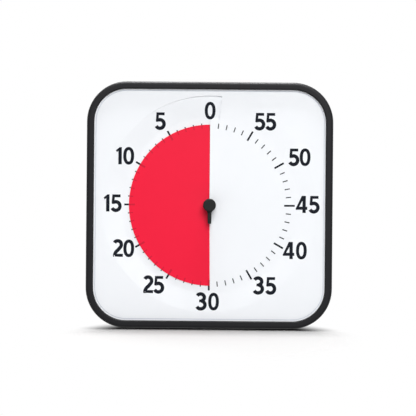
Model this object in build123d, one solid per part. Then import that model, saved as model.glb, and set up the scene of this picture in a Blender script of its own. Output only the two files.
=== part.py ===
from build123d import *
from math import cos, sin, radians, degrees, atan2, hypot, sqrt
import os

# Visual countdown timer: a square clock whose red disk slips out of a slot at 12 o'clock.
#
# Everything is drawn in clock coordinates, in millimetres: x to the right, y up and z out of the dial
# towards the reader, with the origin on the dial's face at its centre. stand_up() then puts the clock
# on its base, facing -Y, with the origin under the middle of its depth.
#
# The red disk is one turn of a shallow spiral, and the part of the dial that it runs in is a spiral of
# the same pitch. So turning the disk slides it out of the slot in front of the dial, and the rest of
# it runs behind. A turn moves the disk one pitch towards the reader, along its splined hub.

# Case
case_width = 190.5
case_height = 190.5
case_depth = 36.9
corner_radius = 31.0
bezel_width = 5.6           # black border seen round the dial
bezel_rise = 2.4            # front of the bezel in front of the dial
front_round = 2.4           # outer front edge of the frame
bezel_round = 0.8           # inner front edge of the frame
frame_depth = 27.9          # front of the bezel to the seam with the rear cover
frame_wall = 2.5
frame_skin = 2.0            # front wall of the bezel
skirt_wall = 1.5            # inner wall of the bezel, round the dial
ledge_width = 4.0           # ledge that the dial lies on
ledge_thickness = 2.0
seam_chamfer = 0.5

# Rear cover
cover_reveal = 0.4          # how far the cover stands inside the frame's outline
cover_wall = 3.0
cover_floor = 2.5
back_round = 5.0
spigot_gap = 0.15
spigot_wall = 1.5
spigot_rise = 3.0           # how far the spigot reaches into the frame
spigot_root = 3.0
keyhole_height = 70.0       # above the dial's centre
keyhole_head = 4.5          # radius
keyhole_slot = 2.3          # half width
keyhole_travel = 9.0

# Corner posts and their screws
post_joint = 16.0           # how far behind the dial face the two posts meet
dial_post_radius = 3.8
cover_post_radius = 5.0
post_gap = 0.2              # round a dial post, and between it and the cover's post
post_floor = 3.0            # material under a screw head
post_rib = 1.2
screw_radius = 1.4
screw_length = 11.0
screw_head_radius = 2.9
screw_head_height = 2.0
screw_head_bevel = 0.4      # share of the head's height
screw_gap = 0.05            # round a screw in its pilot hole
hole_gap = 0.25             # round a screw or its head in a clearance hole

# Dial and the spiral that the red disk runs in
dial_thickness = 2.4
dial_gap = 0.15             # between the dial's rim and the frame
rim_width = 0.95
groove_width = 0.6
groove_depth = 0.4
sheet_thickness = 0.7       # of the dial inside the spiral
disk_thickness = 0.3
disk_gap = 0.25             # in front of and behind the disk
disk_radius = 62.3
sheet_step = 0.05           # how far the spiral ends below the dial face
slot_radius = 64.0          # the space behind the dial that the disk runs in
flap_radius = 66.3          # outer edge of the flap right of the slot
spiral_radius = 68.0        # where the spiral starts to level out
blend_radius = 84.2         # where it meets the flat dial
blend_slope = 1.0           # run of the recess's outer wall
recess_before = 6.1         # degrees clockwise from 12 o'clock
recess_after = 40.0         # degrees counter-clockwise from 12 o'clock
dial_hole_radius = 4.3
set_angle = 180.6           # degrees from 12 o'clock to the disk's leading edge

# Hub and collar in the middle of the disk
hub_radius = 2.4
spline_radius = 3.0
spline_width = 1.0
spline_count = 3
slide_gap = 0.1
collar_radius = 3.8
collar_front = 0.1          # in front of the dial face
collar_back = 3.5           # behind it
hub_flange_radius = 4.4
hub_flange_thickness = 0.8
hub_flange_gap = 1.1        # behind the collar at rest

# Knob
knob_radius = 4.95
knob_clearance = 1.2        # in front of the dial face
knob_rise = 10.0            # top of the knob above the dial face
knob_round = 0.9
tail_reach = 14.4
tail_root = 1.6             # half width at the hub
tail_tip = 1.35             # half width at the end
tail_rise = 7.0             # top of the tail above the dial face
tail_fillet = 3.0
tail_corner = 0.7
tail_round = 0.5
knob_bore_depth = 6.6

# Movement
movement_top = 21.5         # above the shaft
movement_wall = 1.5
movement_corner = 3.0
plate_thickness = 2.0
shaft_radius = 1.5
shaft_fit = 0.05
press_gap = 0.02
boss_radius = 4.0
boss_rise = 3.0
lug_offset = 5.0            # from the side of the movement to a lug's screw
lug_height = 12.0
lug_width = 8.0
cover_boss_radius = 3.8
arbor_radius = 0.5
tail_arbor_radius = 0.8     # rear end of the centre shaft
pivot_depth = 1.0

# Wheels of the movement, from the centre shaft back to the rotor
gear_module = 0.3
addendum = 0.8              # in modules
dedendum = 1.3              # in modules
tip_share = 0.34            # tooth width at its tip, as a share of the pitch there
root_share = 0.56           # the same at its root
centre_teeth = 60
third_pinion_teeth = 12
third_teeth = 48
second_pinion_teeth = 8
second_teeth = 48
rotor_teeth = 8
third_direction = 20.0      # degrees, from the centre wheel to the third wheel
second_direction = 110.0    # degrees, from there to the second wheel
rotor_direction = 170.0     # degrees, from there to the rotor
wheel_thickness = 1.0
web_thickness = 0.5         # between a wheel's hub and its rim
rim_thickness = 1.0         # from the roots of the teeth inwards
web_hub_radius = 2.6
pinion_overhang = 0.3
wheel_hub_radius = 1.0
centre_wheel_depth = 3.6    # front of the movement to the front of each wheel
third_wheel_depth = 6.4
second_wheel_depth = 8.5
magnet_depth = 10.8
magnet_radius = 2.8
magnet_length = 2.8

# Clutch between the centre wheel and the shaft
clip_radius = 2.8
clip_thickness = 0.5
clip_slot = 2.2
wheel_gap = 0.1
clutch_radius = 2.9
clutch_thickness = 0.2
clutch_height = 0.7
collar_flange_radius = 3.0
collar_flange_thickness = 0.6

# Coil and stator
stator_thickness = 1.2
stator_ring_radius = 6.0
stator_hole_radius = 3.3
stator_arm = 3.2
core_width = 4.0
core_x = -18.5
core_top = 16.8
core_bottom = -7.0
elbow_x = -10.0
bobbin_low = -4.4
bobbin_high = 14.2
bobbin_radius = 2.6
bobbin_flange_radius = 3.5
bobbin_flange = 0.8
winding_radius = 3.2
stator_post_radius = 2.0
stator_pin_radius = 0.9

# Circuit board
board_gap = 0.5             # from the movement's left wall
board_width = 16.2
board_low = -9.3
board_height = 28.6
board_thickness = 1.0
board_standoff = 1.5
standoff_radius = 1.6
standoff_inset = 2.5
chip_side = 5.0
chip_thickness = 1.0
crystal_radius = 1.0
crystal_length = 6.0

# Battery bay
battery_radius = 7.25
battery_length = 50.5
battery_nub_radius = 2.75
battery_nub_length = 1.3
battery_bevel = 0.5
battery_drop = 19.5         # below the shaft
battery_floor_gap = 0.3
bay_gap = 0.35
bay_end_wall = 2.0
bay_low_wall = 1.9
bay_front_wall = 0.85
contact_thickness = 0.4
contact_height = 9.0
contact_gap = 0.05
spring_wire = 0.3           # radius
spring_length = 2.55        # from its plate to the battery
spring_radius = 3.6
spring_turns = 2.5

# Battery door
door_lip = 5.0              # at each side of the bay's opening
door_height = 30.0
door_thickness = 1.6
door_recess = 0.2           # below the back of the cover
door_gap = 0.3
door_corner = 3.0
door_top_margin = 2.0       # above the bay
door_pad = 0.6              # how far the inner pad stands out
door_pad_margin = 0.4
bay_opening_gap = 0.75      # at each end of the battery
bay_opening_height = 15.0
door_screw_margin = 5.0     # from the door's lower edge
door_screw_length = 6.0
door_screw_head = 0.8
door_boss_radius = 3.2
door_boss_height = 7.0
door_groove_count = 4
door_groove_spacing = 2.4
door_groove_radius = 0.5
door_groove_length = 22.0

# Alert: a slide switch and a buzzer behind a grille
switch_x = 50.0
switch_y = 42.0
switch_length = 14.0
switch_width = 7.0
switch_height = 5.5
switch_wall = 1.0
switch_travel = 3.0
carriage_length = 6.0
carriage_thickness = 2.0
nub_length = 4.0
nub_width = 3.0
nub_recess = 0.4            # below the back of the cover
nub_ridges = 3
nub_groove_depth = 0.3
switch_gap = 0.2
dish_length = 17.0
dish_width = 9.0
dish_depth = 1.2
pin_radius = 0.4
pin_length = 3.0
pin_spacing = 3.0
buzzer_x = -50.0
buzzer_y = 42.0
buzzer_radius = 11.5
buzzer_height = 5.0
buzzer_wall = 1.0
buzzer_vent_radius = 1.5
buzzer_step = 1.0
buzzer_step_height = 2.4
piezo_thickness = 0.4
piezo_gap = 0.2
ring_rib_gap = 0.2
ring_rib_wall = 1.2
ring_rib_height = 2.5
grille_hole_radius = 1.3
grille_spacing = 4.2
grille_rings = 2

# Sizes that follow from what fits inside
post_corner = corner_radius - bezel_width - ledge_width - dial_post_radius - post_gap
post_inset = corner_radius - post_corner / sqrt(2)
bay_length = battery_length + spring_length + 2 * contact_thickness + 3 * contact_gap
bay_opening_width = battery_length + 2 * bay_opening_gap
door_width = bay_opening_width + 2 * door_lip
movement_width = bay_length + 2 * bay_end_wall
movement_bottom = battery_drop + battery_radius + bay_gap + bay_low_wall
movement_depth = battery_floor_gap + 2 * battery_radius + bay_gap + bay_front_wall + plate_thickness
lug_reach = movement_width / 2 + lug_offset
board_left = movement_wall + board_gap - movement_width / 2

# Depths of the main levels, in front of the dial face
z_front = bezel_rise
z_back = bezel_rise - case_depth
z_seam = bezel_rise - frame_depth
z_floor = z_back + cover_floor
z_ledge = -dial_thickness
z_joint = -post_joint
z_movement = z_floor + movement_depth
z_plate = z_movement - plate_thickness
z_chamber = z_floor + movement_wall
z_battery = z_floor + battery_floor_gap + battery_radius
y_battery = -battery_drop
pitch = disk_thickness + sheet_thickness + 2 * disk_gap
cut = 1.0                   # how far a cutting tool runs past a surface
weld = 0.5                  # how far a boss or rib runs into the wall that carries it


# Helpers

def slab(sketch, low, high):
    """A sketch on the dial's plane, as a solid between two depths."""
    return Pos(0, 0, low) * extrude(sketch, amount=high - low, dir=(0, 0, 1))


def rod(radius, low, high, at=(0, 0)):
    """A cylinder along z between two depths."""
    return Pos(at[0], at[1], (low + high) / 2) * Cylinder(radius, high - low)


def rod_x(radius, left, right, at):
    """A cylinder along x, at a height and depth."""
    return Pos((left + right) / 2, *at) * Rot(0, 90, 0) * Cylinder(radius, right - left)


def block(x, y, z):
    """A box from its lowest and highest x, y and z."""
    centre = [(low + high) / 2 for low, high in (x, y, z)]
    return Pos(*centre) * Box(x[1] - x[0], y[1] - y[0], z[1] - z[0])


def outline(inset):
    """The case's rounded square, moved inwards."""
    return RectangleRounded(case_width - 2 * inset, case_height - 2 * inset, corner_radius - inset)


def strip(start, end, width):
    """A flat bar with round ends between two points."""
    length = hypot(end[0] - start[0], end[1] - start[1])
    angle = degrees(atan2(end[1] - start[1], end[0] - start[0]))
    middle = Pos((start[0] + end[0]) / 2, (start[1] + end[1]) / 2)
    return middle * Rot(0, 0, angle) * SlotCenterToCenter(length, width)


def polar(radius, angle):
    return radius * cos(radians(angle)), radius * sin(radians(angle))


def corners():
    """The axes of the four corner posts."""
    x = case_width / 2 - post_inset
    y = case_height / 2 - post_inset
    return [(sx * x, sy * y) for sx in (-1, 1) for sy in (-1, 1)]


def screw(seat, length, at, facing, head_height=screw_head_height):
    """A pan head screw. Its head lies on the seat, and faces the reader (1) or the back (-1)."""
    ends = sorted((seat, seat - facing * length))
    head_ends = sorted((seat, seat + facing * head_height))
    head = rod(screw_head_radius, *head_ends, at)
    rim = head.faces().sort_by(Axis.Z)[-1 if facing > 0 else 0].edges()
    return chamfer(rim, head_height * screw_head_bevel) + rod(screw_radius, *ends, at)


# Case

def front_frame():
    """Bezel and side walls in one moulding, with the ledge that the dial is laid on from the front."""
    frame = slab(outline(0), z_seam, z_front)
    frame = fillet(frame.faces().sort_by(Axis.Z)[-1].edges(), front_round)
    frame = chamfer(frame.faces().sort_by(Axis.Z)[0].edges(), seam_chamfer)
    frame -= slab(outline(bezel_width), z_ledge, z_front + cut)
    frame = fillet(frame.faces().sort_by(Axis.Z)[-1].inner_wires()[0].edges(), bezel_round)
    frame -= slab(outline(bezel_width + ledge_width), z_seam - cut, z_ledge + cut)
    frame -= slab(outline(frame_wall), z_seam - cut, z_ledge - ledge_thickness)
    channel = outline(frame_wall) - outline(bezel_width - skirt_wall)
    return frame - slab(channel, z_seam - cut, z_front - frame_skin)


def cover_shell():
    """Shallow tray with a spigot that fits inside the frame."""
    inner_inset = cover_reveal + cover_wall
    tray = slab(outline(cover_reveal), z_back, z_seam)
    tray = fillet(tray.faces().sort_by(Axis.Z)[0].edges(), back_round)
    hollow = slab(outline(inner_inset), z_floor, z_seam + cut)
    hollow = fillet(hollow.faces().sort_by(Axis.Z)[0].edges(), back_round - cover_floor)
    spigot_inset = frame_wall + spigot_gap
    spigot = outline(spigot_inset) - outline(spigot_inset + spigot_wall)
    return tray - hollow + slab(spigot, z_seam - spigot_root, z_seam + spigot_rise)


def cover_posts():
    """Posts that carry the housing screws, each tied to the two nearest walls by ribs."""
    ribs = Sketch()
    posts = []
    for x, y in corners():
        posts.append(rod(cover_post_radius, z_floor - weld, z_joint - post_gap, (x, y)))
        side = case_width / 2 * x / abs(x)
        end = case_height / 2 * y / abs(y)
        ribs += Pos((x + side) / 2, y) * Rectangle(abs(side - x), post_rib)
        ribs += Pos(x, (y + end) / 2) * Rectangle(post_rib, abs(end - y))
    ribs &= outline(cover_reveal + cover_wall / 2)
    return posts + [slab(ribs, z_floor - weld, z_seam)]


def post_bores():
    """Clearance holes through the cover's posts, counterbored from behind."""
    seat = z_joint - post_gap - post_floor
    bores = []
    for at in corners():
        bores.append(rod(screw_radius + hole_gap, z_back - cut, z_joint + cut, at))
        bores.append(rod(screw_head_radius + hole_gap, z_back - cut, seat, at))
    return bores


def keyhole():
    """Wall-hanging hole: a round entry with a slot that runs up from it."""
    entry = Pos(0, keyhole_height) * Circle(keyhole_head)
    slot = strip((0, keyhole_height), (0, keyhole_height + keyhole_travel), 2 * keyhole_slot)
    return slab(entry + slot, z_back - cut, z_floor + cut)


def grille():
    """Round sound holes in rings round the buzzer's axis."""
    holes = [(0, 0)]
    for ring in range(1, grille_rings + 1):
        holes += [polar(ring * grille_spacing, 60 / ring * i) for i in range(6 * ring)]
    tools = [Pos(buzzer_x + x, buzzer_y + y) * Circle(grille_hole_radius) for x, y in holes]
    return slab(Sketch() + tools, z_back - cut, z_floor + cut)


def door_centre():
    return y_battery + bay_opening_height / 2 + door_top_margin - door_height / 2


def door_screw_at():
    return 0, door_centre() - door_height / 2 + door_screw_margin


def rear_cover():
    """Moulded back of the case, with the battery opening, keyhole, grille and switch slot."""
    bosses = [rod(cover_boss_radius, z_floor - weld, z_plate, (side * lug_reach, lug_height))
              for side in (-1, 1)]
    bosses.append(rod(door_boss_radius, z_floor - weld, z_floor + door_boss_height, door_screw_at()))
    ring_inner = buzzer_radius + ring_rib_gap
    ring = Circle(ring_inner + ring_rib_wall) - Circle(ring_inner)
    bosses.append(Pos(buzzer_x, buzzer_y) * slab(ring, z_floor - weld, z_floor + ring_rib_height))
    nest_inner = (switch_length + 2 * ring_rib_gap, switch_width + 2 * ring_rib_gap)
    nest = Rectangle(*[side + 2 * ring_rib_wall for side in nest_inner]) - Rectangle(*nest_inner)
    bosses.append(Pos(switch_x, switch_y) * slab(nest, z_floor - weld, z_floor + ring_rib_height))
    cover = cover_shell() + cover_posts() + bosses

    door = RectangleRounded(door_width + 2 * door_gap, door_height + 2 * door_gap, door_corner + door_gap)
    door_floor = z_back + door_recess + door_thickness
    opening = RectangleRounded(bay_opening_width, bay_opening_height, door_corner)
    dish = SlotOverall(dish_length, dish_width)
    slot = Rectangle(nub_length + switch_travel + 2 * switch_gap, nub_width + 2 * switch_gap)
    pilots = [rod(screw_radius + screw_gap, z_plate - screw_length, z_plate + cut,
                  (side * lug_reach, lug_height)) for side in (-1, 1)]
    pilots.append(rod(screw_radius + hole_gap, z_back - cut, z_back + door_screw_length + cut,
                      door_screw_at()))
    return cover - post_bores() - pilots - [
        keyhole(),
        grille(),
        Pos(0, door_centre()) * slab(door, z_back - cut, door_floor),
        Pos(0, y_battery) * slab(opening, z_back - cut, z_floor + cut),
        Pos(switch_x, switch_y) * slab(dish, z_back - cut, z_back + dish_depth),
        Pos(switch_x, switch_y) * slab(slot, z_back - cut, z_floor + cut),
    ]


def housing_screws():
    seat = z_joint - post_gap - post_floor
    return [screw(seat, screw_length, at, -1) for at in corners()]


def battery_door():
    """Flush door with a locating pad inside and finger grooves outside."""
    outer = z_back + door_recess
    inner = outer + door_thickness
    plate = slab(RectangleRounded(door_width, door_height, door_corner), outer, inner)
    plate = Pos(0, door_centre()) * plate
    margin = 2 * door_pad_margin
    pad = RectangleRounded(bay_opening_width - margin, bay_opening_height - margin,
                           door_corner - door_pad_margin)
    plate += Pos(0, y_battery) * slab(pad, inner, inner + door_pad)
    for i in range(door_groove_count):
        rise = (i - (door_groove_count - 1) / 2) * door_groove_spacing
        plate -= rod_x(door_groove_radius, -door_groove_length / 2, door_groove_length / 2,
                       (y_battery + rise, outer))
    plate -= rod(screw_radius + hole_gap, outer - cut, inner + cut, door_screw_at())
    return plate - rod(screw_head_radius + hole_gap, outer - cut, outer + door_screw_head,
                       door_screw_at())


def battery_door_screw():
    seat = z_back + door_recess + door_screw_head
    return screw(seat, door_screw_length, door_screw_at(), -1, door_screw_head)


# Dial, and the spiral that the red disk runs in

def level(turn):
    """Depth of the dial's spiral surface, by degrees counter-clockwise from 12 o'clock."""
    return -sheet_step - pitch * (1 - turn / 360)


def radial_face(turn, points):
    """A flat face that stands on the dial along one radius, from (radius, depth) pairs."""
    corners_at = [(*polar(radius, 90 + turn), depth) for radius, depth in points]
    return make_face(Polyline(*corners_at, close=True))


def spiral(profile, start, end, step=10):
    """A solid whose radial section follows profile(turn) between two angles."""
    count = max(2, round((end - start) / step))
    turns = [start + (end - start) * i / count for i in range(count + 1)]
    return loft([radial_face(turn, profile(turn)) for turn in turns])


def recess_edge(turn):
    """Depth of the recess at its outer wall, which dies out counter-clockwise."""
    left = max(0, (recess_after - turn) / (recess_before + recess_after))
    return sheet_step - (pitch + sheet_step) * left


def front_space(turn):
    """Section of the space in front of the dial's spiral."""
    floor = level(turn)
    return [(hub_radius, cut), (hub_radius, floor), (spiral_radius, floor),
            (blend_radius, recess_edge(turn)), (blend_radius + blend_slope, cut)]


def flap_space(turn):
    """Section of the recess beside the flap, clockwise from 12 o'clock."""
    return [(flap_radius, cut), (flap_radius, level(0)), (spiral_radius, level(0)),
            (blend_radius, recess_edge(turn)), (blend_radius + blend_slope, cut)]


def back_space(turn):
    """Section of the space behind the dial's spiral sheet."""
    ceiling = level(turn) - sheet_thickness
    behind = -dial_thickness - cut
    return [(hub_radius, ceiling), (slot_radius, ceiling), (slot_radius, behind), (hub_radius, behind)]


def dial_plate():
    """White dial: a plate whose middle is a spiral sheet, slit along 12 o'clock."""
    inset = bezel_width + dial_gap
    plate = slab(outline(inset), -dial_thickness, 0)
    rim = outline(inset + rim_width) - outline(inset + rim_width + groove_width)
    plate -= slab(rim, -groove_depth, cut)
    posts = [rod(dial_post_radius, z_joint, -dial_thickness / 2, at) for at in corners()]
    plate += posts
    plate -= [rod(screw_radius + screw_gap, z_joint - cut, z_joint + screw_length, at) for at in corners()]
    plate -= rod(dial_hole_radius, -dial_thickness - cut, cut)
    half = recess_after + (360 - recess_after) / 2
    plate -= spiral(front_space, 0, recess_after)
    plate -= spiral(front_space, recess_after, half)
    plate -= spiral(front_space, half, 360)
    plate -= spiral(flap_space, -recess_before, 0)
    plate -= spiral(back_space, 0, 180)
    plate -= spiral(back_space, 180, 360)
    return plate


def splines(radius, width, low, high):
    """Straight bars round the shaft's axis, from the hub's surface out to a radius."""
    bars = []
    for i in range(spline_count):
        bar = Pos(radius / 2, 0) * Rectangle(radius, width)
        bars.append(slab(Rot(0, 0, 360 / spline_count * i) * bar, low, high))
    return bars


def disk_section(turn):
    """Section of the red disk, midway in the space that the dial leaves it."""
    back = level(turn) + disk_gap
    inner = (spline_radius + slide_gap + collar_radius) / 2
    return [(inner, back), (disk_radius, back), (disk_radius, back + disk_thickness),
            (inner, back + disk_thickness)]


def red_disk():
    """One turn of spiral film on a collar that slides along the hub's splines."""
    disk = spiral(disk_section, set_angle - 360, set_angle)
    disk += rod(collar_radius, -collar_back, collar_front)
    disk -= rod(hub_radius + slide_gap, -collar_back - cut, collar_front + cut)
    return disk - splines(spline_radius + slide_gap, spline_width + 2 * slide_gap,
                          -collar_back - cut, collar_front + cut)


def disk_hub():
    """Splined sleeve on the shaft, with a flange behind the disk."""
    flange = -collar_back - hub_flange_gap
    hub = rod(hub_radius, flange, knob_clearance)
    hub += splines(spline_radius, spline_width, flange, knob_clearance)
    hub = hub & rod(spline_radius, flange, knob_clearance)
    hub += rod(hub_flange_radius, flange - hub_flange_thickness, flange)
    return hub - rod(shaft_radius + press_gap, flange - hub_flange_thickness - cut, knob_clearance + cut)


# Knob

def knob():
    """Round knob whose tail lies over the leading edge of the disk."""
    root = knob_radius / 2
    tail = make_face(Polyline((-tail_root, -root), (tail_root, -root), (tail_tip, -tail_reach),
                              (-tail_tip, -tail_reach), close=True))
    shape = Circle(knob_radius) + tail
    inner = [v for v in shape.vertices() if -knob_radius < v.Y < 0]
    shape = fillet(inner, tail_fillet)
    tips = [v for v in shape.vertices() if v.Y < tail_corner - tail_reach]
    shape = fillet(tips, tail_corner)
    body = slab(shape, knob_clearance, tail_rise)
    body = fillet(body.faces().sort_by(Axis.Z)[-1].edges(), tail_round)
    grip = rod(knob_radius, knob_clearance, knob_rise)
    body += fillet(grip.faces().sort_by(Axis.Z)[-1].edges(), knob_round)
    body -= rod(shaft_radius + press_gap, knob_clearance - cut, knob_clearance + knob_bore_depth)
    return Rot(0, 0, set_angle - 180) * body


# Movement

def movement_outline(inset):
    width = movement_width - 2 * inset
    height = movement_top + movement_bottom - 2 * inset
    shape = RectangleRounded(width, height, movement_corner - inset)
    return Pos(0, (movement_top - movement_bottom) / 2) * shape


def wheel_places():
    """Axes of the third wheel, the second wheel and the rotor."""
    half = gear_module / 2
    x, y = 0.0, 0.0
    places = []
    for direction, teeth in ((third_direction, centre_teeth + third_pinion_teeth),
                             (second_direction, third_teeth + second_pinion_teeth),
                             (rotor_direction, second_teeth + rotor_teeth)):
        dx, dy = polar(half * teeth, direction)
        x, y = x + dx, y + dy
        places.append((x, y))
    return places


def stator_ends():
    return (core_x, core_top), (core_x, core_bottom)


def bay_space():
    """Battery bay, open to the back: a round-bottomed trough."""
    radius = battery_radius + bay_gap
    trough = rod_x(radius, -bay_length / 2, bay_length / 2, (y_battery, z_battery))
    return trough + block((-bay_length / 2, bay_length / 2), (y_battery - radius, y_battery + radius),
                          (z_floor - cut, z_battery))


def movement_case():
    """Moulded box with the battery bay open to the back and the wheels' chamber open to the front."""
    case = slab(movement_outline(0), z_floor, z_plate)
    chamber_low = y_battery + battery_radius + bay_gap + movement_wall
    chamber_top = movement_top - movement_wall
    half = movement_width / 2 - movement_wall
    case -= block((-half, half), (chamber_low, chamber_top), (z_chamber, z_plate + cut))
    case -= bay_space()
    for at in stator_ends():
        case += rod(stator_post_radius, z_chamber - movement_wall / 2, z_stator(), at)
        case += rod(stator_pin_radius, z_chamber, z_stator() + 2 * stator_thickness, at)
    for at in wheel_places():
        case -= rod(arbor_radius + shaft_fit, z_chamber - pivot_depth, z_chamber + cut, at)
    return case - rod(tail_arbor_radius + shaft_fit, z_chamber - pivot_depth, z_chamber + cut)


def movement_plate():
    """Front plate of the movement: shaft bearing, pivots for the wheels and two screw lugs."""
    plate = slab(movement_outline(0), z_plate, z_movement)
    for side in (-1, 1):
        at = (side * lug_reach, lug_height)
        plate += slab(strip((0, lug_height), at, lug_width), z_plate, z_movement)
        plate -= rod(screw_radius + hole_gap, z_plate - cut, z_movement + cut, at)
    plate += rod(boss_radius, z_movement, z_movement + boss_rise)
    plate -= rod(shaft_radius + shaft_fit, z_plate - cut, z_movement + boss_rise + cut)
    for at in board_corners():
        plate += rod(standoff_radius, z_plate - board_standoff, z_plate, at)
    for at in wheel_places():
        plate -= rod(arbor_radius + shaft_fit, z_plate - cut, z_plate + pivot_depth, at)
    return plate


def movement_screws():
    return [screw(z_movement, screw_length, (side * lug_reach, lug_height), 1) for side in (-1, 1)]


def centre_shaft():
    """Steel shaft from the rear pivot to the knob, with a flange that backs the clutch."""
    flange = z_plate - centre_wheel_depth + plate_thickness - wheel_thickness - wheel_gap - clutch_height
    shaft = rod(shaft_radius, flange, knob_clearance + knob_bore_depth - wheel_gap)
    shaft += rod(collar_flange_radius, flange - collar_flange_thickness, flange)
    return shaft + rod(tail_arbor_radius, z_chamber - pivot_depth + wheel_gap, flange)


def front_of(depth):
    """Depth of a wheel's front face, from how far it lies behind the front of the movement."""
    return z_movement - depth


def clutch_spring():
    """Dished washer that presses the centre wheel against the clip."""
    low = front_of(centre_wheel_depth) - wheel_thickness - wheel_gap - clutch_height
    high = low + clutch_height - clutch_thickness
    inner = shaft_radius + press_gap
    section = Plane.XZ * make_face(Polyline((inner, high), (clutch_radius, low),
                                            (clutch_radius, low + clutch_thickness),
                                            (inner, high + clutch_thickness), close=True))
    return revolve(section, Axis.Z)


def retaining_clip():
    """Open ring on the shaft, in front of the centre wheel."""
    low = front_of(centre_wheel_depth) + wheel_gap
    ring = Circle(clip_radius) - Circle(shaft_radius + press_gap)
    ring -= Pos(0, clip_radius) * Rectangle(clip_slot, 2 * clip_radius)
    return slab(ring, low, low + clip_thickness)


def gear_outline(teeth):
    """Straight-flanked teeth, the first one centred on the x axis."""
    radius = gear_module * teeth / 2
    tip, root = radius + addendum * gear_module, radius - dedendum * gear_module
    tip_half, root_half = tip_share * 180 / teeth, root_share * 180 / teeth
    points = []
    for i in range(teeth):
        middle = 360 / teeth * i
        points += [polar(root, middle - root_half), polar(tip, middle - tip_half),
                   polar(tip, middle + tip_half), polar(root, middle + root_half)]
    return make_face(Polyline(*points, close=True))


def gear(teeth, front, thickness, turned, at):
    """A toothed disk with one tooth pointing in a given direction."""
    return Pos(*at) * slab(Rot(0, 0, turned) * gear_outline(teeth), front - thickness, front)


def wheel(teeth, depth, turned, at):
    """A gear with a thin web between its hub and its rim."""
    front = front_of(depth)
    rim = gear_module * (teeth / 2 - dedendum) - rim_thickness
    web = Circle(rim) - Circle(web_hub_radius)
    sunk = (wheel_thickness - web_thickness) / 2
    back = front - wheel_thickness
    body = gear(teeth, front, wheel_thickness, turned, at)
    body -= Pos(*at) * slab(web, front - sunk, front + cut)
    return body - Pos(*at) * slab(web, back - cut, back + sunk)


def pinion(teeth, mate_depth, direction, at):
    """A pinion in mesh with the wheel whose front lies at mate_depth, in a given direction from it."""
    thickness = wheel_thickness + 2 * pinion_overhang
    front = front_of(mate_depth) + pinion_overhang
    return gear(teeth, front, thickness, direction + 180 + 180 / teeth, at)


def arbor(at):
    """Pivot pin through the movement, a little short of the bottom of both of its holes."""
    return rod(arbor_radius, z_chamber - pivot_depth + wheel_gap, z_plate + pivot_depth - wheel_gap, at)


def wheel_hub(depth, mate_depth, at):
    """Round neck from the front of a wheel or magnet to the back of its pinion."""
    return rod(wheel_hub_radius, front_of(depth), front_of(mate_depth) - wheel_thickness - pinion_overhang, at)


def centre_wheel():
    body = wheel(centre_teeth, centre_wheel_depth, third_direction, (0, 0))
    return body - rod(shaft_radius + shaft_fit, z_chamber, z_plate)


def third_wheel():
    at = wheel_places()[0]
    body = wheel(third_teeth, third_wheel_depth, second_direction, at)
    body += pinion(third_pinion_teeth, centre_wheel_depth, third_direction, at)
    return body + wheel_hub(third_wheel_depth, centre_wheel_depth, at) + arbor(at)


def second_wheel():
    at = wheel_places()[1]
    body = wheel(second_teeth, second_wheel_depth, rotor_direction, at)
    body += pinion(second_pinion_teeth, third_wheel_depth, second_direction, at)
    return body + wheel_hub(second_wheel_depth, third_wheel_depth, at) + arbor(at)


def rotor():
    """Magnet and pinion on one arbor."""
    at = wheel_places()[2]
    front = front_of(magnet_depth)
    turned = pinion(rotor_teeth, second_wheel_depth, rotor_direction, at) + arbor(at)
    turned += wheel_hub(magnet_depth, second_wheel_depth, at)
    return turned + rod(magnet_radius, front - magnet_length, front, at)


def z_stator():
    """Back of the stator, which is level with the middle of the magnet."""
    return front_of(magnet_depth) - (magnet_length + stator_thickness) / 2


def stator():
    """Iron plate: the coil's core, and two arms that meet in a ring round the magnet."""
    top, bottom = stator_ends()
    magnet_x, magnet_y = wheel_places()[2]
    elbow = (elbow_x, core_bottom)
    plate = strip(top, bottom, core_width)
    plate += strip(top, (magnet_x, core_top), stator_arm)
    plate += strip(bottom, elbow, stator_arm) + strip(elbow, (magnet_x, magnet_y), stator_arm)
    plate += Pos(magnet_x, magnet_y) * Circle(stator_ring_radius)
    plate -= Pos(magnet_x, magnet_y) * Circle(stator_hole_radius)
    for x, y in stator_ends():
        plate -= Pos(x, y) * Circle(stator_pin_radius + screw_gap)
    return slab(plate, z_stator(), z_stator() + stator_thickness)


def along_core(sketch, low, high):
    """A sketch in x and z round the core's axis, as a solid between two heights."""
    middle = z_stator() + stator_thickness / 2
    plane = Plane(origin=(core_x, low, middle), x_dir=(1, 0, 0), z_dir=(0, 1, 0))
    return extrude(plane * sketch, amount=high - low, dir=(0, 1, 0))


def coil_bobbin():
    """Flanged tube that slides over the stator's core."""
    bore = Rectangle(core_width + 2 * screw_gap, stator_thickness + 2 * screw_gap)
    bobbin = along_core(Circle(bobbin_radius), bobbin_low, bobbin_high)
    bobbin += along_core(Circle(bobbin_flange_radius), bobbin_low, bobbin_low + bobbin_flange)
    bobbin += along_core(Circle(bobbin_flange_radius), bobbin_high - bobbin_flange, bobbin_high)
    return bobbin - along_core(bore, bobbin_low - cut, bobbin_high + cut)


def coil_winding():
    ring = Circle(winding_radius) - Circle(bobbin_radius)
    return along_core(ring, bobbin_low + bobbin_flange, bobbin_high - bobbin_flange)


# Circuit board

def board_corners():
    right, top = board_left + board_width, board_low + board_height
    inset = standoff_inset
    return [(x, y) for x in (board_left + inset, right - inset) for y in (board_low + inset, top - inset)]


def board_back():
    return z_plate - board_standoff - board_thickness


def circuit_board():
    front = z_plate - board_standoff
    return block((board_left, board_left + board_width), (board_low, board_low + board_height),
                 (board_back(), front))


def driver_chip():
    x, y = board_left + board_width / 2, board_low + board_height / 3
    half = chip_side / 2
    return block((x - half, x + half), (y - half, y + half), (board_back() - chip_thickness, board_back()))


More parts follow.
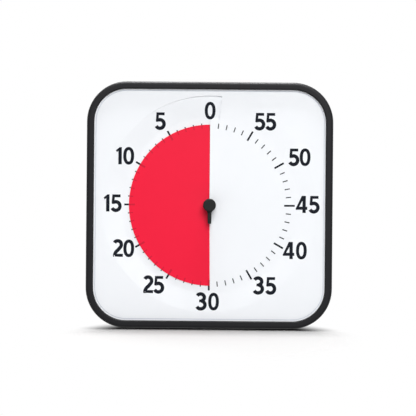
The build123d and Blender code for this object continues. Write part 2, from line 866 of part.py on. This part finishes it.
def quartz_crystal():
    """Small can that lies on the back of the board."""
    x, y = board_left + board_width / 2, board_low + board_height * 0.75
    half = crystal_length / 2
    return rod_x(crystal_radius, x - half, x + half, (y, board_back() - crystal_radius))


# Battery and its contacts

def battery_aa():
    right = bay_length / 2 - contact_thickness - 2 * contact_gap
    left, shoulder = right - battery_length, right - battery_nub_length
    axis = (y_battery, z_battery)
    cell = rod_x(battery_radius, left, shoulder, axis)
    cell = chamfer(cell.edges(), battery_bevel)
    return cell + rod_x(battery_nub_radius, shoulder - cut, right, axis)


def contact_plate(left):
    half = contact_height / 2
    return block((left, left + contact_thickness), (y_battery - half, y_battery + half),
                 (z_battery - half, z_battery + half))


def contact_positive():
    return contact_plate(bay_length / 2 - contact_gap - contact_thickness)


def contact_spring():
    """Plate with a short coil spring that presses on the battery's flat end."""
    left = -bay_length / 2 + contact_gap
    face = left + contact_thickness
    run = spring_length - 3 / 2 * spring_wire
    path = Helix(pitch=run / spring_turns, height=run, radius=spring_radius)
    start = Plane(origin=path @ 0, z_dir=path % 0)
    coil = sweep(start * RegularPolygon(spring_wire, 6), path=path, is_frenet=True)
    place = Pos(face + spring_wire / 2, y_battery, z_battery) * Rot(0, 90, 0)
    return contact_plate(left) + place * coil


# Alert

def alert_switch_body():
    """Slide switch under the cover's floor, with a channel for its carriage and three pins."""
    top = z_floor + switch_height
    body = block((-switch_length / 2, switch_length / 2), (-switch_width / 2, switch_width / 2),
                 (z_floor, top))
    half = (carriage_length + switch_travel) / 2 + switch_gap
    body -= block((-half, half), (switch_wall - switch_width / 2, switch_width / 2 - switch_wall),
                  (z_floor - cut, z_floor + carriage_thickness + 2 * switch_gap))
    for i in (-1, 0, 1):
        body += rod(pin_radius, top - cut, top + pin_length, (i * pin_spacing, 0))
    return Pos(switch_x, switch_y) * body


def alert_switch_slider():
    """Carriage inside the switch with a ridged nub that shows in the cover's dish."""
    low = z_floor + switch_gap
    half_width = switch_width / 2 - switch_wall - switch_gap
    slider = block((-carriage_length / 2, carriage_length / 2), (-half_width, half_width),
                   (low, low + carriage_thickness))
    nub = block((-nub_length / 2, nub_length / 2), (-nub_width / 2, nub_width / 2),
                (z_back + nub_recess, low + carriage_thickness / 2))
    slider += nub
    ridge = nub_length / (2 * nub_ridges - 1)
    for i in range(nub_ridges - 1):
        left = (2 * i + 1) * ridge - nub_length / 2
        slider -= block((left, left + ridge), (-nub_width, nub_width),
                        (z_back, z_back + nub_recess + nub_groove_depth))
    return Pos(switch_x - switch_travel / 2, switch_y) * slider


def buzzer_housing():
    """Cup over the grille, with a step for the piezo disk and a vent in front."""
    top = z_floor + buzzer_height
    cup = rod(buzzer_radius, z_floor, top)
    cup -= rod(buzzer_radius - buzzer_wall - buzzer_step, z_floor - cut, top - buzzer_wall)
    cup -= rod(buzzer_radius - buzzer_wall, z_floor - cut, z_floor + buzzer_step_height)
    cup -= rod(buzzer_vent_radius, z_floor, top + cut)
    return Pos(buzzer_x, buzzer_y) * cup


def piezo_disc():
    top = z_floor + buzzer_step_height
    return rod(buzzer_radius - buzzer_wall - piezo_gap, top - piezo_thickness, top, (buzzer_x, buzzer_y))


NODES = [
    front_frame, dial_plate, rear_cover, housing_screws, battery_door, battery_door_screw,
    red_disk, disk_hub, knob, centre_shaft, clutch_spring, retaining_clip,
    centre_wheel, third_wheel, second_wheel, rotor, stator, coil_bobbin, coil_winding,
    movement_case, movement_plate, movement_screws, circuit_board, driver_chip, quartz_crystal,
    battery_aa, contact_positive, contact_spring,
    alert_switch_body, alert_switch_slider, buzzer_housing, piezo_disc,
]


def stand_up(shape):
    """From clock coordinates to the clock standing on its base, facing -Y."""
    middle = (knob_rise + z_back) / 2
    stand = Plane(origin=(0, middle, case_height / 2), x_dir=(1, 0, 0), z_dir=(0, -1, 0))
    if isinstance(shape, list):
        shape = Compound(children=shape)
    return stand.location * shape


os.makedirs("parts", exist_ok=True)
for node in NODES:
    export_step(stand_up(node()), f"parts/{node.__name__}.step")
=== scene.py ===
from math import cos, pi, radians, sin

import bpy
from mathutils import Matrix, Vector
from mathutils.bvhtree import BVHTree
from mathutils.geometry import delaunay_2d_cdt

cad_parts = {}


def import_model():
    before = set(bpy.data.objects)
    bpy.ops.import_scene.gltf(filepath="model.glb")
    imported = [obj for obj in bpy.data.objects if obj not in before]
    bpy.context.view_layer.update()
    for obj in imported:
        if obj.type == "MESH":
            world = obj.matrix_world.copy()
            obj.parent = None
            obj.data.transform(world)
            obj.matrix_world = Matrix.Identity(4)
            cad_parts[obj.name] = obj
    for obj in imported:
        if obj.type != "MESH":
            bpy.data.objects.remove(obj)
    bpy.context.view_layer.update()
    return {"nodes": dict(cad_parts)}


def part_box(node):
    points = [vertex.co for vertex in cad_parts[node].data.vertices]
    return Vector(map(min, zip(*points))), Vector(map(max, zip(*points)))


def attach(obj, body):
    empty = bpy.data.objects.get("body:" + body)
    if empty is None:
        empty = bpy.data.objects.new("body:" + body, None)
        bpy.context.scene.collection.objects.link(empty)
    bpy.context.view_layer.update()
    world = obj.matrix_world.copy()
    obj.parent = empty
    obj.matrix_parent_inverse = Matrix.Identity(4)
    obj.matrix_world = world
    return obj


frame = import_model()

# Dressing of the visual countdown timer: the print on its dial, the finish of every piece, and the
# studio. The print is drawn in the dial's own millimetres, x to the right and y up from the shaft.
# All else is in metres in the frame that the pieces share: x to the right, y away from the reader
# and z up from the table.

MM = 0.001
dial_low, dial_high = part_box("dial_plate")
FACE = dial_low.y                               # the dial's face
CENTRE = (dial_low.z + dial_high.z) / 2         # height of the shaft
case_low, case_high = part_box("front_frame")
CASE_WIDTH = case_high.x - case_low.x


# Print on the dial

INK = 0.03 * MM             # how far the print stands on the dial
RAY_START = 0.05            # in front of the dial, for the rays that find its surface
NUMERAL_HEIGHT = 13.26      # millimetres, for a digit with no round top
GRID = 17.1                 # the same height on the grid that the digits are drawn on
STROKE = 3.5                # on that grid
ARC_STEP = 15               # degrees
OVAL_POINTS = 32
OVAL_POWER = 2.25           # 2 is an ellipse, and more is squarer
SAME_POINT = 1e-4           # millimetres

MINUTE = 6                  # degrees
LONG_EVERY = 5              # minutes
TICK_LONG = (57.8, 66.0)    # inner and outer radius, millimetres
TICK_SHORT = (59.4, 63.4)
TICK_LONG_WIDTH = 1.42
TICK_SHORT_WIDTH = 0.8

# Centre of each numeral, in millimetres from the shaft
NUMERALS = {
    "0": (-0.1, 73.2), "5": (-38.6, 64.85), "10": (-65.6, 37.65), "15": (-74.95, 1.05),
    "20": (-66.2, -33.95), "25": (-42.7, -61.8), "30": (-1, -74.6), "35": (43.15, -61.9),
    "40": (66.3, -34.55), "45": (75.9, 1.2), "50": (69.4, 37.7), "55": (42.65, 65.05),
}

# Width of each digit, and the space after it, on the digits' grid
DIGIT_WIDTH = {"0": 10.7, "1": 5.4, "2": 9.9, "3": 10.4, "4": 11.3, "5": 10.3}
DIGIT_SPACE = {"0": 1.0, "1": 1.7, "2": 0.45, "3": 2.0, "4": 1.8, "5": 0.65}


def arc(cx, cy, rx, ry, start, end):
    """Points along part of an ellipse, between two angles in degrees."""
    count = max(2, round(abs(end - start) / ARC_STEP))
    angles = [radians(start + (end - start) * i / count) for i in range(count + 1)]
    return [Vector((cx + rx * cos(a), cy + ry * sin(a))) for a in angles]


def stroke(points):
    """Four-sided pieces of a line one stroke wide, each counter-clockwise."""
    runs = [(b - a).normalized() for a, b in zip(points, points[1:])]
    sides = []
    for i in range(len(points)):
        before, after = runs[max(0, i - 1)], runs[min(i, len(runs) - 1)]
        middle = (before + after).normalized()
        reach = STROKE / 2 / middle.dot(after)
        sides.append(Vector((-middle.y, middle.x)) * reach)
    left = [p + s for p, s in zip(points, sides)]
    right = [p - s for p, s in zip(points, sides)]
    return [[right[i], right[i + 1], left[i + 1], left[i]] for i in range(len(points) - 1)]


def patch(*points):
    return [[Vector(p) for p in points]]


def bar(left, low, right, high):
    return patch((left, low), (right, low), (right, high), (left, high))


def oval(cx, cy, rx, ry):
    """Points round a slightly squared oval."""
    def bulge(value):
        return (abs(value) ** (2 / OVAL_POWER)) * (1 if value >= 0 else -1)

    angles = [2 * pi * i / OVAL_POINTS for i in range(OVAL_POINTS)]
    return [Vector((cx + rx * bulge(cos(a)), cy + ry * bulge(sin(a)))) for a in angles]


def ring(outer, inner):
    n = len(outer)
    return [[outer[i], outer[(i + 1) % n], inner[(i + 1) % n], inner[i]] for i in range(n)]


def zero():
    return ring(oval(5.35, 8.55, 5.4, 8.8), oval(5.35, 8.55, 2.25, 5.7))


def one():
    return patch((2.2, 0), (5.6, 0), (5.6, GRID), (3.4, GRID),
                 (-0.3, 13.9), (0.8, 12.1), (2.2, 13.3))


def two():
    hook = arc(4.75, 12.25, 3.6, 3.75, 153, -35) + arc(8.5, 0.6, 6.85, 7.2, 120, 180)
    return stroke(hook) + bar(0.2, 0, 9.9, 3.0)


def three():
    upper = stroke(arc(4.75, 12.6, 3.75, 3.5, 152, -80))
    lower = stroke(arc(4.9, 5.2, 4.3, 3.95, 80, -153))
    return upper + lower + bar(3.3, 7.8, 6.0, 10.5)


def four():
    crossbar = patch((-0.1, 3.2), (11.4, 3.2), (11.4, 6.25), (0.8, 6.25), (-0.1, 4.4))
    slope = patch((-0.1, 4.4), (3.3, 6.25), (6.7, 12.3), (7.2, GRID), (5.9, GRID))
    return bar(6.6, 0, 9.9, GRID) + crossbar + slope


def five():
    top = bar(1.2, GRID - 2.85, 9.4, GRID)
    stem = patch((1.3, GRID), (0.65, 8.6), (1.0, 7.7), (2.8, 7.5), (3.3, 9.4), (3.9, GRID))
    return top + stem + stroke(arc(4.75, 5.5, 4.15, 4.3, 122, -152))


DIGITS = {"0": zero, "1": one, "2": two, "3": three, "4": four, "5": five}


def numeral(text):
    """Patches of a numeral, in millimetres from the shaft."""
    widths = [DIGIT_WIDTH[d] for d in text]
    spaces = [DIGIT_SPACE[d] for d in text[:-1]]
    left = -(sum(widths) + sum(spaces)) / 2
    scale = NUMERAL_HEIGHT / GRID
    middle = Vector(NUMERALS[text])
    patches = []
    for digit, width, space in zip(text, widths, spaces + [0]):
        corner = Vector((left, -GRID / 2))
        for piece in DIGITS[digit]():
            patches.append([middle + (corner + p) * scale for p in piece])
        left += width + space
    return patches


def tick(minute):
    """One mark of the scale. The minutes run counter-clockwise."""
    long = minute % LONG_EVERY == 0
    inner, outer = TICK_LONG if long else TICK_SHORT
    half = (TICK_LONG_WIDTH if long else TICK_SHORT_WIDTH) / 2
    angle = radians(MINUTE * minute)
    along = Vector((-sin(angle), cos(angle)))
    across = Vector((along.y, -along.x)) * half
    return [[along * inner - across, along * inner + across,
             along * outer + across, along * outer - across]]


def dial_surface():
    mesh = frame["nodes"]["dial_plate"].data
    places = [v.co for v in mesh.vertices]
    return BVHTree.FromPolygons(places, [p.vertices for p in mesh.polygons])


def merged(patches):
    """One triangulated sheet from patches that may overlap."""
    points, faces = [], []
    for piece in patches:
        first = len(points)
        points += piece
        faces.append(list(range(first, first + len(piece))))
    found, _, triangles, _, _, sources = delaunay_2d_cdt(points, [], faces, 1, SAME_POINT)
    return found, [t for t, source in zip(triangles, sources) if source]


def printed(name, groups, material):
    """A thin print on the dial, laid on the surface under each of its points."""
    surface = dial_surface()
    backwards = Vector((0, 1, 0))
    vertices, faces = [], []
    for patches in groups:
        points, triangles = merged(patches)
        first = len(vertices)
        for x, y in points:
            start = Vector((x * MM, FACE - RAY_START, CENTRE + y * MM))
            hit, _, _, _ = surface.ray_cast(start, backwards)
            vertices.append((hit.x, hit.y - INK, hit.z))
        for triangle in triangles:
            faces.append([first + i for i in triangle])
    mesh = bpy.data.meshes.new(name)
    mesh.from_pydata(vertices, [], faces)
    obj = bpy.data.objects.new(name, mesh)
    bpy.context.scene.collection.objects.link(obj)
    for polygon in mesh.polygons:
        if polygon.normal.y > 0:
            polygon.flip()
    mesh.update()
    mesh.materials.append(material)
    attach(obj, "housing")


# Materials

# Where the groove round the dial is painted with shade
GROOVE_RADIUS = 0.086       # from the shaft, short of the groove round the dial
GROOVE_MIDDLE = 0.00035     # behind the dial's face
GROOVE_REACH = 0.00025      # how far either way counts as in the groove

# Screw heads, and the cross in each that is painted with shade
SCREW_HEAD_RADIUS = 0.0029
CROSS_WIDTH = 0.0008
CROSS_LENGTH = 0.0034

BATTERY_BAND = 0.0155       # from the positive end to the edge of the pale band
BATTERY_CAP = 0.0022        # bare steel at the positive end
BATTERY_BASE = 0.0006       # and at the other one

STEEL = (0.58, 0.58, 0.6)


class Nodes:
    """A node tree, with short calls to add and join nodes."""

    def __init__(self, tree):
        self.tree = tree

    def add(self, kind, inputs=(), **settings):
        node = self.tree.nodes.new(kind)
        for key, value in settings.items():
            setattr(node, key, value)
        for socket, value in dict(inputs).items():
            if isinstance(value, bpy.types.NodeSocket):
                self.tree.links.new(value, node.inputs[socket])
            else:
                node.inputs[socket].default_value = value
        return node

    def math(self, operation, *values):
        node = self.add("ShaderNodeMath", dict(enumerate(values)), operation=operation)
        return node.outputs[0]

    def vector(self, operation, *values):
        node = self.add("ShaderNodeVectorMath", dict(enumerate(values)), operation=operation)
        return node.outputs

    def spread(self, value, low, high):
        """A 0 to 1 value spread over another range."""
        inputs = {"Value": value, "To Min": low, "To Max": high}
        return self.add("ShaderNodeMapRange", inputs).outputs["Result"]

    def mixed(self, value, first, second):
        """Colour between two, each a colour or a socket, by a value."""
        mix = self.add("ShaderNodeMix", data_type="RGBA")
        self.tree.links.new(value, mix.inputs["Factor"])
        colours = [s for s in mix.inputs if s.type == "RGBA"]
        for socket, colour in zip(colours, (first, second)):
            if isinstance(colour, bpy.types.NodeSocket):
                self.tree.links.new(colour, socket)
            else:
                socket.default_value = (*colour, 1)
        return next(s for s in mix.outputs if s.type == "RGBA")


class Surface(Nodes):
    """A material. Each word of `sockets` is a socket of its shader, with _ for a space."""

    def __init__(self, name, base, roughness, metallic=0.0, **sockets):
        self.material = bpy.data.materials.new(name)
        self.material.use_nodes = True
        super().__init__(self.material.node_tree)
        self.shader = self.tree.nodes["Principled BSDF"]
        self.shader.inputs["Base Color"].default_value = (*base, 1)
        self.shader.inputs["Roughness"].default_value = roughness
        self.shader.inputs["Metallic"].default_value = metallic
        for socket, value in sockets.items():
            self.shader.inputs[socket.replace("_", " ")].default_value = value
        self.place = self.add("ShaderNodeTexCoord").outputs["Object"]
        self.height = None

    def noise(self, size, detail=2.0, stretch=(1, 1, 1)):
        """Noise whose features are about `size` metres across."""
        place = self.add("ShaderNodeMapping", {"Vector": self.place, "Scale": stretch})
        inputs = {"Vector": place.outputs["Vector"], "Scale": 1 / size, "Detail": detail}
        return self.add("ShaderNodeTexNoise", inputs).outputs["Fac"]

    def sides(self):
        """The x, y and z of each place."""
        return self.add("ShaderNodeSeparateXYZ", {"Vector": self.place}).outputs

    def around_shaft(self):
        """Distance from the shaft, and the angle round it in radians."""
        x, _, z = self.sides()
        up = self.math("SUBTRACT", z, CENTRE)
        squares = self.math("ADD", self.math("MULTIPLY", up, up), self.math("MULTIPLY", x, x))
        return self.math("SQRT", squares), self.math("ARCTAN2", x, up)

    def into(self, socket, value):
        self.tree.links.new(value, self.shader.inputs[socket])

    def bump(self, height, distance):
        """Adds a bump of that depth on top of those before it."""
        node = self.add("ShaderNodeBump", {"Height": height, "Distance": distance, "Strength": 1.0})
        if self.height:
            self.tree.links.new(self.height, node.inputs["Normal"])
        self.height = node.outputs["Normal"]
        self.into("Normal", self.height)


def moulded(name, base, roughness, grain=0.00045, depth=0.00002, variation=0.12, gloss=0.5):
    """Moulded plastic with a fine spark-eroded grain and slightly uneven gloss."""
    m = Surface(name, base, roughness, Specular_IOR_Level=gloss)
    shades = [tuple(c * share for c in base) for share in (1 - variation, 1 + variation)]
    m.into("Base Color", m.mixed(m.noise(0.03), *shades))
    m.into("Roughness", m.spread(m.noise(0.012, detail=3), roughness - 0.05, roughness + 0.05))
    m.bump(m.noise(grain, detail=3), depth)
    return m.material


def satin_white():
    """White plastic, with painted shade: a greyer line in the groove round the dial."""
    m = Surface("dial_white", (0.86, 0.88, 0.91), 0.38)
    white = m.mixed(m.noise(0.05), (0.85, 0.87, 0.9), (0.87, 0.89, 0.92))
    radius, _ = m.around_shaft()
    # Painted shade: the floor of the groove round the dial gets a greyer colour in place of the
    # shade that falls there.
    in_groove = m.math("COMPARE", m.sides()["Y"], FACE + GROOVE_MIDDLE, GROOVE_REACH)
    line = m.math("MULTIPLY", in_groove, m.math("GREATER_THAN", radius, GROOVE_RADIUS))
    m.into("Base Color", m.mixed(line, white, (0.66, 0.69, 0.75)))
    m.into("Roughness", m.spread(m.noise(0.02, detail=3), 0.34, 0.42))
    m.bump(m.noise(0.0006), 0.000004)
    return m.material


def film():
    """Red film, with the marks of the dial showing faintly through its edge."""
    m = Surface("red_film", (0.84, 0.005, 0.039), 0.42, Specular_IOR_Level=0.2)
    red = m.mixed(m.noise(0.04), (0.83, 0.0045, 0.037), (0.85, 0.0055, 0.041))
    radius, angle = m.around_shaft()

    def marks(step, width, inner):
        turn = m.math("PINGPONG", angle, radians(step / 2))
        near = m.math("LESS_THAN", m.math("MULTIPLY", turn, radius), width / 2 * MM)
        return m.math("MULTIPLY", near, m.math("GREATER_THAN", radius, inner * MM))

    short = marks(MINUTE, TICK_SHORT_WIDTH, TICK_SHORT[0])
    long = marks(MINUTE * LONG_EVERY, TICK_LONG_WIDTH, TICK_LONG[0])
    m.into("Base Color", m.mixed(m.math("MAXIMUM", short, long), red, (0.6, 0.004, 0.029)))
    m.into("Roughness", m.spread(m.noise(0.015, detail=3), 0.38, 0.46))
    m.bump(m.noise(0.0005), 0.000004)
    return m.material


def ink():
    m = Surface("dial_ink", (0.012, 0.014, 0.02), 0.5, Specular_IOR_Level=0.03)
    m.into("Base Color", m.mixed(m.noise(0.002), (0.011, 0.013, 0.019), (0.013, 0.015, 0.021)))
    m.into("Roughness", m.spread(m.noise(0.001), 0.45, 0.55))
    return m.material


def painted_cross_shade(m, node):
    """1 in the cross of a screw's head, which is painted near black as the shade in its recess, for
    one screw or a set of four in a rectangle.
    """
    low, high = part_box(node)
    place = m.sides()
    offsets = []
    for side in ("X", "Z"):
        start, end = getattr(low, side.lower()), getattr(high, side.lower())
        away = max(0, (end - start) / 2 - SCREW_HEAD_RADIUS)
        from_middle = m.math("ABSOLUTE", m.math("SUBTRACT", place[side], (start + end) / 2))
        offsets.append(m.math("ABSOLUTE", m.math("SUBTRACT", from_middle, away)))
    thin = m.math("LESS_THAN", m.math("MINIMUM", *offsets), CROSS_WIDTH / 2)
    short = m.math("LESS_THAN", m.math("MAXIMUM", *offsets), CROSS_LENGTH / 2)
    return m.math("MULTIPLY", thin, short)


def metal(name, base, roughness, stretch=(1, 1, 1), screw=None):
    """Plated or drawn metal with fine marks along one axis, and painted shade in the cross of a
    screw's head.
    """
    m = Surface(name, base, roughness, metallic=1.0)
    marks = m.noise(0.0008, detail=3, stretch=stretch)
    m.into("Roughness", m.spread(marks, roughness - 0.06, roughness + 0.1))
    colour = m.mixed(marks, tuple(c * 0.94 for c in base), base)
    if screw:
        # Painted shade: the cross in the screw's head is near black instead of steel.
        colour = m.mixed(painted_cross_shade(m, screw), colour, (0.03, 0.03, 0.03))
    m.into("Base Color", colour)
    m.bump(marks, 0.000003)
    return m.material


def windings():
    """Layers of enamelled wire round the vertical core, with painted shade in the bands between the
    turns.
    """
    m = Surface("copper_wire", (0.62, 0.24, 0.1), 0.3, metallic=1.0)
    inputs = {"Vector": m.place, "Scale": 900.0, "Distortion": 0.6}
    turns = m.add("ShaderNodeTexWave", inputs, bands_direction="Z").outputs["Fac"]
    # Painted shade: the colour darkens in the bands between the turns of wire.
    m.into("Base Color", m.mixed(turns, (0.35, 0.1, 0.035), (0.72, 0.31, 0.13)))
    m.into("Roughness", m.spread(m.noise(0.001), 0.25, 0.4))
    m.bump(turns, 0.00005)
    return m.material


def solder_mask():
    """Green board with its tracks just showing through."""
    m = Surface("solder_mask", (0.02, 0.17, 0.06), 0.3)
    flat = m.add("ShaderNodeMapping", {"Vector": m.place, "Rotation": (radians(90), 0, 0)})
    inputs = {"Vector": flat.outputs["Vector"], "Scale": 260.0, "Mortar Size": 0.06}
    tracks = m.add("ShaderNodeTexBrick", inputs).outputs["Fac"]
    m.into("Base Color", m.mixed(tracks, (0.016, 0.15, 0.05), (0.05, 0.3, 0.1)))
    m.into("Roughness", m.spread(m.noise(0.004), 0.25, 0.38))
    m.bump(tracks, 0.00003)
    return m.material


def battery_sleeve():
    """Plain sleeve: a blue body with a pale band at the positive end, and steel ends."""
    low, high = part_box("battery_aa")
    m = Surface("battery_sleeve", (0.03, 0.1, 0.32), 0.32)
    x = m.sides()["X"]
    band = m.math("GREATER_THAN", x, high.x - BATTERY_BAND)
    cap = m.math("GREATER_THAN", x, high.x - BATTERY_CAP)
    base = m.math("LESS_THAN", x, low.x + BATTERY_BASE)
    ends = m.math("MAXIMUM", cap, base)
    body = m.mixed(band, (0.025, 0.09, 0.3), (0.62, 0.65, 0.68))
    m.into("Base Color", m.mixed(ends, body, (0.6, 0.6, 0.62)))
    m.into("Metallic", ends)
    m.into("Roughness", m.spread(m.noise(0.003), 0.25, 0.36))
    return m.material


def dress(material, *nodes):
    for node in nodes:
        slots = frame["nodes"][node].data.materials
        slots.clear()
        slots.append(material)


def dress_blacks():
    dress(moulded("frame_black", (0.006, 0.006, 0.0075), 0.46, gloss=0.17), "front_frame")
    dress(moulded("cover_black", (0.010, 0.010, 0.012), 0.54, grain=0.0006, depth=0.00003,
                  gloss=0.25), "rear_cover", "battery_door")
    dress(moulded("knob_black", (0.010, 0.011, 0.011), 0.5, grain=0.0003, depth=0.00001,
                  gloss=0.15), "knob")
    dress(moulded("movement_black", (0.022, 0.022, 0.024), 0.45), "movement_case", "movement_plate")
    dress(moulded("buzzer_black", (0.018, 0.018, 0.018), 0.4, depth=0.000008), "buzzer_housing")
    dress(moulded("switch_black", (0.02, 0.02, 0.02), 0.4, depth=0.000008), "alert_switch_body")
    dress(moulded("chip_epoxy", (0.012, 0.012, 0.013), 0.55, grain=0.0002), "driver_chip")


def dress_whites():
    dress(satin_white(), "dial_plate")
    dress(moulded("hub_white", (0.78, 0.78, 0.76), 0.4, depth=0.000005, variation=0.02), "disk_hub")
    dress(moulded("gear_white", (0.74, 0.72, 0.66), 0.42, depth=0.000005, variation=0.03),
          "centre_wheel", "third_wheel", "second_wheel", "rotor", "coil_bobbin")
    dress(moulded("slider_white", (0.72, 0.72, 0.69), 0.42, depth=0.000008, variation=0.03),
          "alert_switch_slider")


def dress_metals():
    dress(metal("plated_steel", STEEL, 0.3), "movement_screws", "retaining_clip")
    dress(metal("housing_screw_steel", STEEL, 0.3, screw="housing_screws"), "housing_screws")
    dress(metal("door_screw_steel", STEEL, 0.3, screw="battery_door_screw"), "battery_door_screw")
    dress(metal("turned_steel", (0.6, 0.6, 0.62), 0.22, stretch=(1, 12, 1)),
          "centre_shaft", "quartz_crystal")
    dress(metal("nickel", (0.7, 0.68, 0.63), 0.28),
          "contact_positive", "contact_spring", "clutch_spring")
    dress(metal("stator_iron", (0.42, 0.42, 0.44), 0.4, stretch=(1, 8, 1)), "stator")
    dress(metal("piezo_brass", (0.78, 0.55, 0.22), 0.3), "piezo_disc")


def dress_rest():
    dress(film(), "red_disk")
    dress(windings(), "coil_winding")
    dress(solder_mask(), "circuit_board")
    dress(battery_sleeve(), "battery_aa")


# Studio

IMAGE = 416                 # pixels each way
CASE_PIXELS = 246.3         # width of the case in the picture
CASE_AT = (208.97, 204.65)  # the case's centre in the picture
ROLL = 0.5                  # degrees clockwise
DISTANCE = 1.10             # from the lens to the widest part of the case
WIDEST = 0.0024             # from the front of the case to there
LENS = 85.0                 # millimetres

WORLD = 0.18                # light from all round
# Name, place, size and power of each lamp
LAMPS = (
    ("front", (0.5, -2.6, 1.55), 1.65, 68.0),
    ("top", (0.0, 0.06, 1.12), 0.5, 31.0),
    ("back", (-0.7, 1.6, 0.9), 1.0, 16.0),
)

FLOOR_HALF = 1.2            # half its width
FLOOR_LEVEL = -0.0002
FLOOR_SEEN = 0.38           # the floor's grey, for the rays that see it
FLOOR_LIT = 0.25            # and for the light that it gives back
CONTACTS = ((0.02, 12.0), (0.35, 0.8))  # over which distance it darkens, and how sharply
CONTACT_SIDE = (0, 0.8, 0.6)            # the side from which the case darkens it
CONTACT_SAMPLES = 8
SHADOW_MIDDLE = (0, -0.09, 0)           # of the oval of floor that shows the shadow
SHADOW_SIZE = (0.092, 0.14, 1)          # its half width and half depth
SHADOW_FADE = (0.9, 1.25)               # where it fades, as shares of that size


def camera():
    """Level with the middle of the case, straight in front of it."""
    data = bpy.data.cameras.new("camera")
    data.lens = LENS
    data.clip_start = 0.01
    pixel = CASE_WIDTH / CASE_PIXELS
    data.sensor_width = LENS * IMAGE * pixel / DISTANCE
    obj = bpy.data.objects.new("camera", data)
    obj.location = (0, case_low.y + WIDEST - DISTANCE, CENTRE)
    obj.rotation_euler = (radians(90), radians(-ROLL), 0)
    middle = (IMAGE - 1) / 2
    data.shift_x = (middle - CASE_AT[0]) / IMAGE
    data.shift_y = (CASE_AT[1] - middle) / IMAGE
    bpy.context.scene.collection.objects.link(obj)
    bpy.context.scene.camera = obj


def lamp(name, place, size, power):
    """A square lamp that points at the middle of the case."""
    data = bpy.data.lights.new(name, "AREA")
    data.size = size
    data.energy = power
    obj = bpy.data.objects.new(name, data)
    obj.location = place
    aim = Vector((0, 0, CENTRE)) - obj.location
    obj.rotation_euler = aim.to_track_quat("-Z", "Y").to_euler()
    bpy.context.scene.collection.objects.link(obj)


def grey(level):
    return (level, level, level)


def floor_white():
    """White that shows the object's shadow close by, and fades into the white round it.

    It is clear from beneath, so that views from there show the object."""
    m = Surface("floor_white", grey(0.8), 0.9, Specular_IOR_Level=0.0)
    path = m.add("ShaderNodeLightPath").outputs
    seen = m.math("MAXIMUM", path["Is Camera Ray"], path["Is Transmission Ray"])
    shade = grey(FLOOR_SEEN)
    for distance, power in CONTACTS:
        sky = m.add("ShaderNodeAmbientOcclusion", {"Distance": distance, "Normal": CONTACT_SIDE},
                    samples=CONTACT_SAMPLES)
        shade = m.mixed(m.math("POWER", sky.outputs["AO"], power), grey(0), shade)
    m.into("Base Color", m.mixed(seen, grey(FLOOR_LIT), shade))

    place = m.vector("SUBTRACT", m.place, SHADOW_MIDDLE)["Vector"]
    away = m.vector("LENGTH", m.vector("DIVIDE", place, SHADOW_SIZE)["Vector"])["Value"]
    start, end = SHADOW_FADE
    fade = m.add("ShaderNodeMapRange", {"Value": away, "From Min": start, "From Max": end},
                 interpolation_type="SMOOTHSTEP").outputs["Result"]
    plain = m.math("MAXIMUM", m.math("MULTIPLY", fade, seen), path["Is Glossy Ray"])
    glow = m.add("ShaderNodeEmission").outputs[0]
    above = m.add("ShaderNodeMixShader", {0: plain, 1: m.shader.outputs[0], 2: glow}).outputs[0]
    beneath = m.add("ShaderNodeNewGeometry").outputs["Backfacing"]
    clear = m.add("ShaderNodeBsdfTransparent").outputs[0]
    both = m.add("ShaderNodeMixShader", {0: beneath, 1: above, 2: clear}).outputs[0]
    m.tree.links.new(both, m.tree.nodes["Material Output"].inputs["Surface"])
    return m.material


def floor():
    corners = [(x * FLOOR_HALF, y * FLOOR_HALF, FLOOR_LEVEL)
               for x, y in ((-1, -1), (1, -1), (1, 1), (-1, 1))]
    mesh = bpy.data.meshes.new("floor")
    mesh.from_pydata(corners, [], [(0, 1, 2, 3)])
    mesh.materials.append(floor_white())
    obj = bpy.data.objects.new("floor", mesh)
    bpy.context.scene.collection.objects.link(obj)


def world():
    """White all round for the rays that see it, and a plain light for the object."""
    made = bpy.data.worlds.new("studio")
    bpy.context.scene.world = made
    made.use_nodes = True
    made.node_tree.nodes.clear()
    nodes = Nodes(made.node_tree)
    path = nodes.add("ShaderNodeLightPath").outputs
    seen = nodes.math("MAXIMUM", path["Is Camera Ray"], path["Is Glossy Ray"])
    seen = nodes.math("MAXIMUM", seen, path["Is Transmission Ray"])
    inputs = {"Color": (1, 1, 1, 1), "Strength": nodes.spread(seen, WORLD, 1.0)}
    light = nodes.add("ShaderNodeBackground", inputs).outputs[0]
    nodes.add("ShaderNodeOutputWorld", {"Surface": light})


black = ink()
printed("minute_marks", [tick(minute) for minute in range(1, 60)], black)
printed("numerals", [numeral(text) for text in NUMERALS], black)
dress_blacks()
dress_whites()
dress_metals()
dress_rest()

camera()
floor()
world()
for settings in LAMPS:
    lamp(*settings)
bpy.context.scene.view_settings.view_transform = "Standard"
